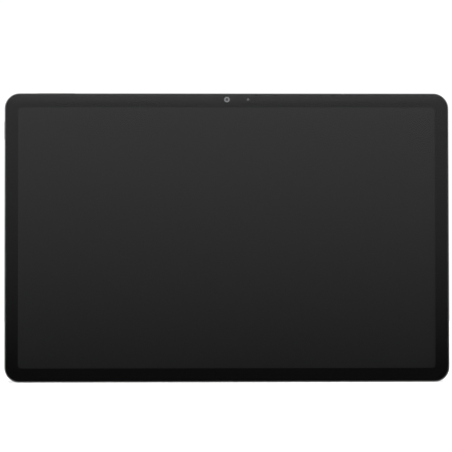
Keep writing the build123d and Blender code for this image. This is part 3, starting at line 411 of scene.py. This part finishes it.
FRAME_TONE = (0.22, 0.22, 0.224)
BACK_TONE = (0.21, 0.21, 0.214)

finish_for_slot = {
    "cover_glass": clear_cover_glass(),
    "black_ink": black_ink(),
    "clear_adhesive": clear_film(),
    "black_tape": foam_tape(),
    "display": dark_display(),
    "light_guide": light_guide(),
    "sheet_steel": rolled_steel(),
    "circuit_board": circuit_board(),
    "flex_circuit": polyimide(),
    "frame_aluminium": anodised_aluminium("frame_anodised", FRAME_TONE),
    "back_aluminium": anodised_aluminium("back_anodised", BACK_TONE),
    "antenna_plastic": moulded("antenna_strip_plastic", (0.15, 0.15, 0.153), 0.45, 0.15),
    "cast_plate": cast_magnesium(),
    "screw_steel": plated_screw(),
    "battery_foil": pouch_foil(),
    "chip_black": moulded("chip_epoxy", (0.025, 0.025, 0.026), 0.55, 0.1),
    "graphite": graphite_film(),
    "tongue_plastic": moulded("tongue_nylon", (0.018, 0.018, 0.018), 0.4, 0.1),
    "gold_contact": gold_plate(),
    "tray_aluminium": anodised_aluminium("tray_anodised", FRAME_TONE),
    "seal_rubber": soft_rubber(),
    "speaker_plastic": moulded("speaker_box_plastic", (0.03, 0.03, 0.032), 0.5, 0.2),
    "camera_black": camera_plastic(),
    "camera_ring": moulded("front_camera_ring_plastic", (0.275, 0.275, 0.28), 0.45, 0.1),
    "lens_glass": coated_lens(),
    "flash_phosphor": phosphor(),
    "flash_diffuser": flash_lens_plastic(),
    "magnet_nickel": nickel(),
}
finish_for_node = {
    "camera_window": camera_cover_glass(),
    "speaker_meshes": woven_mesh(),
}


def dress_nodes():
    for name, piece in nodes.items():
        finish = finish_for_node.get(name, finish_for_slot[slot_of[name]])
        for place in piece.material_slots:
            place.material = finish


def close_seam(name, distance):
    """Swells a layer into the glass in front of it, because faces that coincide with glass render black."""
    swell = nodes[name].modifiers.new("close_seam", "DISPLACE")
    swell.mid_level = 0.0
    swell.strength = distance


# ================================================================ studio
def make_floor():
    bpy.ops.mesh.primitive_plane_add(size=FLOOR_SIZE, location=(0.0, 0.0, cad_low.z))
    floor = bpy.context.object
    floor.name = "studio_floor"
    finish = Finish("studio_floor_white", (FLOOR_TONE,) * 3, 0.9)
    finish.set("Specular IOR Level", 0.1)
    finish.mottle(3.0, 0.01)
    floor.data.materials.append(finish.material)
    floor.visible_glossy = False
    floor.visible_transmission = False


class WorldNodes:
    """Small helpers to write the studio's light as a formula of the ray's direction."""

    def __init__(self, tree):
        self.tree = tree

    def number(self, socket, value):
        if isinstance(value, (int, float)):
            socket.default_value = value
        else:
            self.tree.links.new(value, socket)

    def math(self, operation, first, second=0.0):
        node = self.tree.nodes.new("ShaderNodeMath")
        node.operation = operation
        self.number(node.inputs[0], first)
        self.number(node.inputs[1], second)
        return node.outputs[0]

    def smooth(self, value, start, end, low=0.0, high=1.0):
        node = self.tree.nodes.new("ShaderNodeMapRange")
        node.interpolation_type = "SMOOTHSTEP"
        self.number(node.inputs["Value"], value)
        node.inputs["From Min"].default_value = start
        node.inputs["From Max"].default_value = end
        node.inputs["To Min"].default_value = low
        node.inputs["To Max"].default_value = high
        return node.outputs["Result"]

    def mix(self, share, first, second):
        node = self.tree.nodes.new("ShaderNodeMix")
        self.number(node.inputs["Factor"], share)
        self.number(node.inputs["A"], first)
        self.number(node.inputs["B"], second)
        return node.outputs["Result"]

    def steps(self, value, places, levels):
        """Straight runs between the given places, as a sum of clamped slopes."""
        total = levels[0]
        for start, end, low, high in zip(places, places[1:], levels, levels[1:]):
            node = self.tree.nodes.new("ShaderNodeMapRange")
            self.number(node.inputs["Value"], value)
            node.inputs["From Min"].default_value = start
            node.inputs["From Max"].default_value = end
            node.inputs["To Max"].default_value = high - low
            total = self.math("ADD", total, node.outputs["Result"])
        return total


def make_light():
    """Soft light from all round, dimmer overhead than at the horizon, and a graded card facing the screen."""
    world = bpy.data.worlds.new("studio_light")
    bpy.context.scene.world = world
    world.use_nodes = True
    tree = world.node_tree
    background = tree.nodes["Background"]
    background.inputs["Color"].default_value = (1.0, 1.0, 1.0, 1.0)
    write = WorldNodes(tree)
    direction = tree.nodes.new("ShaderNodeSeparateXYZ")
    tree.links.new(tree.nodes.new("ShaderNodeTexCoord").outputs["Generated"], direction.inputs[0])
    right, back, up = direction.outputs

    sky = write.smooth(up, *SKY_FADE, SKY_HORIZON, SKY_TOP)
    studio = write.mix(write.smooth(up, *HORIZON_FADE), SKY_BELOW, sky)
    left_box = write.smooth(right, *LEFT_FADE, 0.0, LEFT_BOX)
    back_wall = write.smooth(back, *BACK_FADE, 0.0, BACK_WALL)
    studio = write.math("ADD", studio, write.math("ADD", left_box, back_wall))
    studio = write.mix(write.smooth(right, *RIGHT_FADE), studio, RIGHT_SHADE)
    towards_front = write.smooth(back, *FLOOR_FRONT_FADE)
    low_in_front = write.math("MULTIPLY", towards_front, write.smooth(up, *FLOOR_DOWN_FADE))
    studio = write.mix(low_in_front, studio, DARK_FLOOR)

    aside = write.math("ABSOLUTE", write.math("SUBTRACT", right, CARD_MIDDLE))
    card = write.steps(up, CARD_HEIGHTS, CARD_LEVELS)

    in_front = write.smooth(back, *CARD_FRONT_FADE)
    within_sides = write.smooth(aside, *CARD_SIDE_FADE, 1.0, 0.0)
    below_top = write.smooth(up, *CARD_TOP_FADE, 1.0, 0.0)
    above_bottom = write.smooth(up, *CARD_BOTTOM_FADE)
    share = in_front
    for limit in (within_sides, below_top, above_bottom):
        share = write.math("MULTIPLY", share, limit)
    light = write.mix(share, studio, card)

    ray = tree.nodes.new("ShaderNodeLightPath").outputs
    light = write.mix(ray["Is Transmission Ray"], light, INNER_LIGHT)
    light = write.mix(ray["Is Camera Ray"], light, BACKDROP)
    tree.links.new(light, background.inputs["Strength"])


def make_key_light():
    """Very soft light from above and in front, for the matt surfaces and the floor only."""
    lamp = bpy.data.lights.new("key_light", "SUN")
    lamp.energy = KEY_STRENGTH
    lamp.angle = math.radians(KEY_SOFTNESS)
    holder = bpy.data.objects.new("key_light", lamp)
    bpy.context.collection.objects.link(holder)
    holder.rotation_euler = (math.radians(KEY_TILT), 0.0, 0.0)
    holder.visible_glossy = False
    holder.visible_transmission = False


def make_softbox():
    """Soft box close behind, whose gloss shades the metal from top to bottom."""
    lamp = bpy.data.lights.new("softbox_behind", "AREA")
    lamp.shape = "RECTANGLE"
    lamp.size, lamp.size_y = SOFTBOX_SIZE
    lamp.energy = SOFTBOX_POWER
    holder = bpy.data.objects.new("softbox_behind", lamp)
    bpy.context.collection.objects.link(holder)
    away = Vector(SOFTBOX_PLACE)
    low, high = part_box("cover_glass")
    middle = Vector((0.0, 0.0, (low.z + high.z) / 2))
    turn = (middle - away).to_track_quat("-Z", "Y").to_matrix()
    holder.matrix_world = Matrix.Translation(away) @ turn.to_4x4()
    holder.visible_camera = False
    holder.visible_diffuse = False
    holder.visible_transmission = False


def make_camera():
    """Camera placed from the glass: it aims a little above the middle of the front face."""
    low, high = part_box("cover_glass")
    aim = Vector(((low.x + high.x) / 2 + AIM_RIGHT, low.y, (low.z + high.z) / 2 + AIM_UP))
    azimuth, elevation = math.radians(CAMERA_AZIMUTH), math.radians(CAMERA_ELEVATION)
    away = Vector((
        math.sin(azimuth) * math.cos(elevation),
        -math.cos(azimuth) * math.cos(elevation),
        math.sin(elevation),
    ))
    camera = bpy.data.objects.new("photo_camera", bpy.data.cameras.new("photo_camera"))
    camera.data.lens = CAMERA_LENS
    camera.data.clip_start = CLOSEST_SEEN
    turn = (-away).to_track_quat("-Z", "Y").to_matrix() @ Matrix.Rotation(math.radians(CAMERA_ROLL), 3, "Z")
    camera.matrix_world = Matrix.Translation(aim + away * CAMERA_DISTANCE) @ turn.to_4x4()
    bpy.context.collection.objects.link(camera)
    bpy.context.scene.camera = camera


dress_nodes()
close_seam("bezel_mask", INK_INTO_GLASS)
close_seam("lcd_panel", PANEL_INTO_GLASS)
close_seam("camera_window_mask", INK_INTO_GLASS)
close_seam("flash_lens", FLASH_INTO_GLASS)
make_floor()
make_light()
make_key_light()
make_softbox()
make_camera()
bpy.context.scene.view_settings.view_transform = "Standard"
